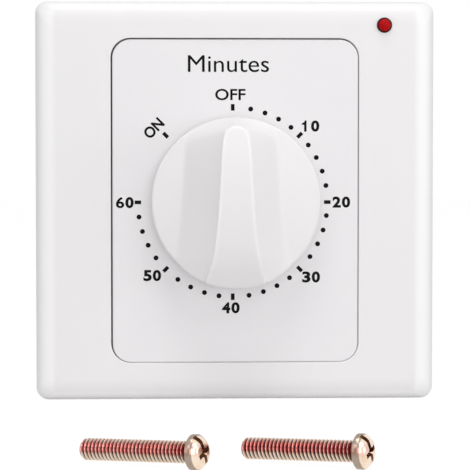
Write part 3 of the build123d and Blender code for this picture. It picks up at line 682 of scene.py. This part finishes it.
def knobRow(z):
    # Places across one row of the knob's face, set close at the bar's edges and at the rim
    size = knobLook
    chord = sqrt(max(size["radius"] ** 2 - z ** 2, 0))
    rimRun = min(size["rim"] * size["rimReach"], chord / 2)
    inner = chord - rimRun
    half, edge = gripHalfWidth(z), size["edge"]
    crests, edges, flanks = size["crestMarks"], size["edgeMarks"], size["flankMarks"]
    skirts, rims = size["skirtMarks"], size["rimMarks"]
    row = []
    for side, sign in enumerate((-1, 1)):
        marks = [(half - edge) * k / crests for k in range(crests)]
        marks += [half - edge + edge * sin(radians(90 * k / edges)) for k in range(edges + 1)]
        marks.append(half + size["bendGap"])
        marks += [half + size["flanks"][side] * k / flanks for k in range(1, flanks + 1)]
        marks = [size["barMiddle"] + sign * mark for mark in marks]
        foot = marks[-1] if abs(marks[-1]) < inner else sign * inner
        marks += [foot + (sign * inner - foot) * k / skirts for k in range(1, skirts + 1)]
        marks = [min(max(mark, -inner), inner) for mark in marks]
        marks += [sign * (inner + rimRun * sin(radians(90 * k / rims))) for k in range(1, rims + 1)]
        row += marks[:0:-1] if side == 0 else marks
    return row


def knobShape():
    size = knobLook
    radius, count = size["radius"], size["rows"]
    shape = bmesh.new()
    rows = []
    for k in range(count + 1):
        z = -radius * cos(pi * k / count)
        rows.append([
            shape.verts.new((x * mm, -knobHeight(x, z) * mm, z * mm)) for x in knobRow(z)
        ])
    for first, second in zip(rows, rows[1:]):
        for k in range(len(first) - 1):
            shape.faces.new((first[k], first[k + 1], second[k + 1], second[k]))
    rim = [row[-1] for row in rows] + [row[0] for row in reversed(rows[1:-1])]
    loops = [rim]
    backEdge, back, wall = size["backEdge"], size["back"], size["wall"]
    for inset, level in ((0, back + backEdge), (backEdge, back), (wall, back), (wall, size["roof"])):
        scale = (radius - inset) / radius
        loops.append([
            shape.verts.new((v.co.x * scale, -level * mm, v.co.z * scale)) for v in rim
        ])
    for first, second in zip(loops, loops[1:]):
        for k in range(len(first)):
            after = (k + 1) % len(first)
            shape.faces.new((first[k], first[after], second[after], second[k]))
    shape.faces.new(loops[-1])
    return shape


def makeKnob():
    size = knobLook
    mesh = finished(knobShape(), "barKnob", size["smooth"])
    lowest = (size["floor"] - size["dome"] - size["rim"] - size["slopeStep"]) * mm
    normals = []
    for face in mesh.polygons:
        points = [mesh.vertices[v].co for v in face.vertices]
        onTop = face.normal.y < -size["facing"] and min(-p.y for p in points) > lowest
        normals += [knobNormal(p.x / mm, p.z / mm) if onTop else Vector((0, 0, 0)) for p in points]
    mesh.normals_split_custom_set(normals)  # a zero leaves a corner to the plain shading
    # Painted highlight: the colour is lightened in a narrow strip along the bar's edges
    paintedHighlight = mesh.attributes.new("paintedHighlight", "FLOAT", "POINT")
    for vert, share in zip(mesh.vertices, paintedHighlight.data):
        x, z = vert.co.x / mm - size["barMiddle"], vert.co.z / mm
        away = abs(outsideBar(x, z) + size["edge"] / 2) / size["edgeHighlight"]
        share.value = max(0.0, 1.0 - away ** 2) if -vert.co.y > lowest else 0.0
    piece("barKnob", mesh, "dial", "whiteKnob", ["knob"])


print("knob")
makeKnob()


dial = {
    "centre": (-0.59, -0.2), "panel": 8.9, "ink": 0.02, "tickInner": 19.66, "tickOuter": 21.06,
    "tickWidth": 0.78, "dotRing": 20.37, "dotRadius": 0.53, "dotAround": 20, "steps": 5, "ticks": 8,
    "leads": (1.9, -1.1, -0.8, -0.9, -0.6, 0.1), "numeral": 1.78, "one": 1.0, "thinner": {"6": 0.6},
    "curveSteps": 6,
    "oneOutline": (
        (1, 0), (1, 1), (0.62, 1), (0.5, 0.86), (0, 0.74), (0, 0.6), (0.48, 0.62), (0.48, 0),
    ),
}
legends = (
    # words, middle x and z, cap height, width, weight, turn in degrees
    ("OFF", -1.1, 22.9, 2.45, 6.5, 0.06, 0),
    ("ON", -17.55, 15.65, 2.45, 4.6, 0.11, 45),
    ("10", 16.15, 16.15, 2.4, 3.75, 0.15, 0),
    ("20", 22.8, -0.2, 2.4, 3.8, 0.15, 0),
    ("30", 16.3, -16.35, 2.4, 3.85, 0.15, 0),
    ("40", -1.0, -22.95, 2.4, 3.8, 0.15, 0),
    ("50", -17.9, -15.95, 2.4, 3.8, 0.15, 0),
    ("60", -23.75, -0.25, 2.4, 3.8, 0.15, 0),
    ("Minutes", -1.5, 29.5, 3.6, 17.4, 0.0, 0),
)


def printedMarks():
    # A tick each eighth of a turn, with dots between them round the timed part
    shape = bmesh.new()
    cx, cz = dial["centre"]
    levels = (dial["panel"] - dial["ink"], dial["panel"] + dial["ink"])
    half = dial["tickWidth"] / 2
    step = 2 * pi / dial["ticks"]
    for k in range(dial["ticks"]):
        turn = pi / 2 - step * k
        along, across = (cos(turn), sin(turn)), (-sin(turn), cos(turn))
        inner, outer = dial["tickInner"], dial["tickOuter"]
        corners = [
            (cx + reach * along[0] + side * across[0], cz + reach * along[1] + side * across[1])
            for reach, side in ((inner, -half), (inner, half), (outer, half), (outer, -half))
        ]
        capped(shape, [[(x * mm, -level * mm, z * mm) for x, z in corners] for level in levels])
        for j in range(1, dial["steps"] if k < len(dial["leads"]) else 1):
            dotTurn = turn - step * j / dial["steps"] - radians(dial["leads"][k])
            centre = (cx + dial["dotRing"] * cos(dotTurn), cz + dial["dotRing"] * sin(dotTurn))
            capped(shape, [
                circle(dial["dotRadius"], level, dial["dotAround"], centre) for level in levels
            ])
    piece("dialMarks", finished(shape, "dialMarks"), "switch", "printInk")


def lettersMesh(words, offset=0.0, depth=0.0):
    text = bpy.data.curves.new("legendText", "FONT")
    text.body = words
    text.resolution_u = dial["curveSteps"]
    text.offset = offset
    text.extrude = depth
    holder = loose("letters", text)
    bpy.context.view_layer.update()
    ready = holder.evaluated_get(bpy.context.evaluated_depsgraph_get())
    mesh = bpy.data.meshes.new_from_object(ready)
    bpy.data.objects.remove(holder)
    return mesh


def oneMesh(depth):
    # A one with a flag, which the plain lettering lacks
    shape = bmesh.new()
    capped(shape, [[(x, y, level) for x, y in dial["oneOutline"]] for level in (-depth, depth)])
    bmesh.ops.recalc_face_normals(shape, faces=shape.faces)
    return meshOf(shape, "one")


def spanOf(mesh, axis):
    values = [vert.co[axis] for vert in mesh.vertices]
    return min(values), max(values)


def setOut(mesh, left, right, tall):
    # Stretches letters to a box that stands on the line
    spans = [spanOf(mesh, axis) for axis in (0, 1)]
    for vert in mesh.vertices:
        vert.co.x = left + (vert.co.x - spans[0][0]) * (right - left) / (spans[0][1] - spans[0][0])
        vert.co.y = (vert.co.y - spans[1][0]) * tall / (spans[1][1] - spans[1][0])


def legend(index, words, x, z, tall, wide, weight, turn):
    low, high = spanOf(lettersMesh(words), 1)
    grown = (high - low) / tall
    parts = list(words) if words.isdigit() else [words]
    shape = bmesh.new()
    for k, part in enumerate(parts):
        width = wide if len(parts) == 1 else dial["numeral"]
        depth = dial["ink"]
        bold = weight * dial["thinner"].get(part, 1) * grown
        mesh = oneMesh(depth) if part == "1" else lettersMesh(part, bold, depth)
        left = 0.0 if k == 0 else wide - width
        setOut(mesh, left, left + (dial["one"] if part == "1" else width), tall)
        shape.from_mesh(mesh)
    c, s = cos(radians(turn)), sin(radians(turn))
    for vert in shape.verts:
        across, up = vert.co.x - wide / 2, vert.co.y - tall / 2
        level = dial["panel"] + vert.co.z
        vert.co = Vector((x + across * c - up * s, -level, z + across * s + up * c)) * mm
    piece(f"legend{index}", meshOf(shape, "legend"), "switch", "printInk")


print("dial print")
printedMarks()
for index, entry in enumerate(legends):
    legend(index, *entry)


lamp = {
    "centre": (32.0, 37.8), "radius": 1.5, "dome": 1.34, "top": 10.3, "crown": 1.0, "seat": 4.4,
    "flange": 1.86, "flangeHeight": 1.0, "neck": 9.0, "around": 48, "steps": 10, "lastTurn": 88, "smooth": 50,
    "ring": ((1.32, 8.7), (1.63, 8.75), (1.63, 9.2), (1.57, 9.38), (1.44, 9.44), (1.32, 9.34)),
}


def makeLamp():
    size = lamp
    centre, around = size["centre"], size["around"]
    shoulder = size["top"] - size["crown"]
    flangeTop = size["seat"] + size["flangeHeight"]
    profile = [
        (size["flange"], size["seat"]), (size["flange"], flangeTop), (size["radius"], flangeTop),
        (size["radius"], size["neck"]), (size["dome"], size["neck"]), (size["dome"], shoulder),
    ]
    for k in range(1, size["steps"] + 1):
        turn = radians(size["lastTurn"] * k / size["steps"])
        profile.append((size["dome"] * cos(turn), shoulder + size["crown"] * sin(turn)))
    shape = bmesh.new()
    capped(shape, [circle(radius, level, around, centre) for radius, level in profile])
    lens = finished(shape, "lampLens", size["smooth"])
    piece("lampLens", lens, "switch", "redLens", ["indicator_lamp"])
    collar = bmesh.new()
    stacked(collar, [circle(radius, level, around, centre) for radius, level in size["ring"]])
    piece("lampRing", finished(collar, "lampRing", size["smooth"]), "switch", "lampCollar")


print("lamp")
makeLamp()


screwLook = {
    "count": 2, "radius": 1.95, "length": 22.0, "head": 3.1, "headHeight": 2.4, "headRim": 1.1, "crown": 1.9,
    "pitch": 0.75, "threadDepth": 0.36, "threadGain": 1.25, "threadFlat": 0.125, "chamfer": 0.5,
    "slot": (0.9, 1.3), "cross": (0.85, 3.5, 1.6), "well": (0.375, 0.975), "wellRise": 0.5, "wellAround": 24,
    "yaw": 30.0, "spacing": 28.5, "tip": (-29.3, -80.6), "floor": -43.0, "turn": 113.0, "headEdge": 0.15,
    "around": 48, "perPitch": 12, "headAround": 64, "crownSteps": 10, "crownDrop": 0.12, "crownPower": 1.75,
    # The band and recess shares below are painted shade; the film band and face share set a painted
    # reflection
    "topShares": (0.7, 0.35), "middle": 0.1, "bandShade": 0.6, "reflectionBand": (0.65, 0.6, 0.75),
    "faceReflection": 0.7, "recessShade": 0.55, "headSmooth": 40, "smooth": 38,
}


def screwPlace(index):
    # It lies on the edge of its head and the edge of its point
    size = screwLook
    tilt = atan2(size["head"] - size["radius"], size["length"] - size["chamfer"])
    rise = size["radius"] * cos(tilt) - size["chamfer"] * sin(tilt)
    yaw = radians(size["yaw"])
    axis = Vector((cos(yaw) * cos(tilt), -sin(yaw) * cos(tilt), sin(tilt)))
    across = Vector((sin(yaw), cos(yaw), 0))
    origin = Vector((size["tip"][0] + index * size["spacing"], size["tip"][1], size["floor"] + rise)) * mm
    facing = Matrix((across, axis.cross(across), axis)).transposed().to_4x4()
    return Matrix.Translation(origin) @ facing @ Matrix.Rotation(radians(size["turn"]), 4, "Z")


def threadedShank():
    # A right-hand ridge: each point moves in by its place along the pitch
    size = screwLook
    around, pitch = size["around"], size["pitch"]
    step = pitch / size["perPitch"]
    count = int(size["length"] / step)
    rings = []
    for k in range(count + 1):
        along = min(k * step, size["length"])
        ease = min(1.0, along / size["chamfer"])
        ring = []
        for j in range(around):
            turn = 2 * pi * j / around
            ridge = 1 - abs(2 * ((along / pitch - j / around) % 1.0) - 1)
            cutIn = size["threadDepth"] * within(size["threadGain"] * (1 - ridge) - size["threadFlat"])
            radius = min(size["radius"] - cutIn, size["radius"] - size["chamfer"] * (1 - ease))
            ring.append((radius * cos(turn) * mm, radius * sin(turn) * mm, along * mm))
        rings.append(ring)
    shape = bmesh.new()
    capped(shape, rings)
    return finished(shape, "screwShank")


def crownLevel(radius):
    # The top of the head at a distance from its axis
    size = screwLook
    top, rim = size["length"] + size["headHeight"], size["length"] + size["headRim"]
    if radius < size["crown"]:
        return top - size["crownDrop"] * (radius / size["crown"]) ** 2
    share = min(1.0, (radius - size["crown"]) / (size["head"] - size["crown"]))
    return rim + (top - size["crownDrop"] - rim) * (1 - share ** size["crownPower"])


def turnedRings(profile, around):
    # A ring round the screw's axis for each radius and level of a profile
    turns = [2 * pi * j / around for j in range(around)]
    return [
        [(radius * cos(turn) * mm, radius * sin(turn) * mm, level * mm) for turn in turns]
        for radius, level in profile
    ]


def screwHead():
    size = screwLook
    low, head, edge = size["length"], size["head"], size["headEdge"]
    top = low + size["headHeight"]
    profile = [(head - edge, low), (head, low + edge), (head, low + size["headRim"])]
    for k in range(1, size["crownSteps"] + 1):
        radius = size["crown"] + (head - size["crown"]) * cos(radians(90 * k / size["crownSteps"]))
        profile.append((radius, crownLevel(radius)))
    for share in size["topShares"]:
        profile.append((share * size["crown"], crownLevel(share * size["crown"])))
    profile.append((size["middle"], crownLevel(size["middle"])))
    shape = bmesh.new()
    capped(shape, turnedRings(profile, size["headAround"]))
    holder = loose("screwHead", finished(shape, "screwHead", size["headSmooth"]))
    wide, deep = size["slot"]
    slotLow = (-head - overrun, -wide / 2, top - deep)
    slotHigh = (head + overrun, wide / 2, top + overrun)
    slot = loose("slotCutter", boxMesh("slotCutter", slotLow, slotHigh))
    crossWide, crossLong, crossDeep = size["cross"]
    crossLow = (-crossWide / 2, -crossLong / 2, top - crossDeep)
    crossHigh = (crossWide / 2, crossLong / 2, top + overrun)
    cross = loose("crossCutter", boxMesh("crossCutter", crossLow, crossHigh))
    deepest, widest = size["well"]
    wellProfile = ((deepest, top - crossDeep), (widest, top + size["wellRise"]))
    recess = bmesh.new()
    capped(recess, turnedRings(wellProfile, size["wellAround"]))
    well = loose("wellCutter", finished(recess, "wellCutter"))
    cutAway(holder, [slot, cross, well])
    mesh = holder.data
    bpy.data.objects.remove(holder)
    return mesh


def grooveShadeShare(point):
    # Painted shade: 1 in the thread's roots and in the recess, part of it on the side of the head
    size = screwLook
    radius, along = hypot(point.x, point.y) / mm, point.z / mm
    if along < size["length"] - size["pitch"]:
        return min(1.0, (size["radius"] - radius) / size["threadDepth"])
    if radius > size["head"] - size["headEdge"]:
        return size["bandShade"]
    return size["recessShade"] * within((crownLevel(radius) - along) / size["slot"][1])


def reflectionPaleShare(point, place):
    # Painted reflection: 0 along the rose band above the screw's axis, 1 where the film is pale: on top and
    # below, taken from the way each side faces once the screw lies on the floor
    size = screwLook
    drop = (place.to_3x3() @ Vector((point.x, point.y, 0))).z / mm
    middle, half, fade = size["reflectionBand"]
    share = within((abs(drop - middle) - half) / fade)
    if point.z / mm > size["length"] + size["headEdge"]:
        return size["faceReflection"] + (1 - size["faceReflection"]) * share
    return share


def makeMountingScrews():
    for index in range(screwLook["count"]):
        shape = bmesh.new()
        grooveShade = shape.verts.layers.float.new("grooveShade")
        reflectionPale = shape.verts.layers.float.new("reflectionPale")
        for part in (threadedShank(), screwHead()):
            shape.from_mesh(part)
        place = screwPlace(index)
        for vert in shape.verts:
            vert[grooveShade] = grooveShadeShare(vert.co)
            vert[reflectionPale] = reflectionPaleShare(vert.co, place)
        creased(shape, screwLook["smooth"])
        shape.transform(place)
        mesh = meshOf(shape, "looseScrew")
        piece(f"looseScrew{index}", mesh, "switch", "platedScrew", ["mounting_screws"])


print("loose screws")
makeMountingScrews()


studio = {
    "photo": 470, "pixelsPerMm": 4.655, "distance": 400.0, "front": 9.0, "eye": (-14.0, 15.0),
    "plateMiddle": (235.5, 201.3), "sensor": 36.0, "clip": 10.0, "worldStrength": 0.4,
    "floor": {"level": -43.05, "half": 1200, "paper": (226, 226, 227), "fleck": (229, 229, 229),
              "fleckMm": 6.0, "rough": 0.9, "glow": 1.06, "glowShare": 0.9, "segments": 8},
}
lights = {
    # place, size and power in watts
    "keyLamp": ((330, -480, 420), 260, 0.5),
    "fillLamp": ((-330, -480, 420), 260, 0.3),
    "sideLamp": ((560, -380, 30), 300, 0.68),
    "leftLamp": ((-520, -420, 150), 300, 0.22),
    "topLamp": ((0, -160, 560), 300, 1.12),
    "frontLamp": ((60, -650, 60), 400, 0.72),
}
white = (1, 1, 1)


def makeWorld():
    world = bpy.data.worlds.new("studioWorld")
    nodes = NodeTree(world)
    lit = nodes.first("BACKGROUND")
    nodes.join(white, lit.inputs["Color"])
    nodes.join(studio["worldStrength"], lit.inputs["Strength"])
    shown = nodes.node("ShaderNodeBackground", {}, {"Color": white, "Strength": 1.0})
    mixed = nodes.blended(nodes.seenPlainly(), lit.outputs[0], shown.outputs[0])
    nodes.join(mixed, nodes.first("OUTPUT_WORLD").inputs["Surface"])
    bpy.context.scene.world = world


def makeFloor():
    size = studio["floor"]
    shape = bmesh.new()
    count = size["segments"]
    bmesh.ops.create_grid(shape, x_segments=count, y_segments=count, size=size["half"] * mm)
    mesh = meshOf(shape, "studioFloor")
    floor = loose("studioFloor", mesh)
    floor.location = (0, 0, size["level"] * mm)
    paint = Paint("floorPaper", {"Roughness": size["rough"]})
    flecks = paint.noise(size["fleckMm"])
    paint.feed(Base_Color=paint.tint(flecks, linear(*size["paper"]), linear(*size["fleck"])))
    glow = paint.node("ShaderNodeEmission", {}, {"Color": white, "Strength": size["glow"]})
    factor = paint.seenPlainly() * size["glowShare"]
    mixed = paint.blended(factor, paint.shader.outputs[0], glow.outputs[0])
    paint.join(mixed, paint.first("OUTPUT_MATERIAL").inputs["Surface"])
    mesh.materials.append(paint.material)


def makeLights():
    for name, (place, size, power) in lights.items():
        data = bpy.data.lights.new(name, "AREA")
        data.size = size * mm
        data.energy = power
        holder = loose(name, data)
        holder.location = Vector(place) * mm
        holder.rotation_euler = (-holder.location).to_track_quat("-Z", "Y").to_euler()


def makeCamera():
    # Aimed at the middle of the plate's face; the lens gives the photograph's scale there
    size = studio
    data = bpy.data.cameras.new("photoCamera")
    camera = loose("photoCamera", data)
    across, up = size["eye"]
    eye = Vector((across, -size["front"] - size["distance"], up)) * mm
    target = Vector((0, -size["front"], 0)) * mm
    camera.location = eye
    camera.rotation_euler = (target - eye).to_track_quat("-Z", "Y").to_euler()
    data.sensor_width = size["sensor"]
    data.lens = size["pixelsPerMm"] * (target - eye).length / mm / size["photo"] * size["sensor"]
    data.shift_x = 0.5 - size["plateMiddle"][0] / size["photo"]
    data.shift_y = size["plateMiddle"][1] / size["photo"] - 0.5
    data.clip_start = size["clip"] * mm
    bpy.context.scene.camera = camera


print("studio")
makeWorld()
makeFloor()
makeLights()
makeCamera()
bpy.context.scene.view_settings.view_transform = "Standard"
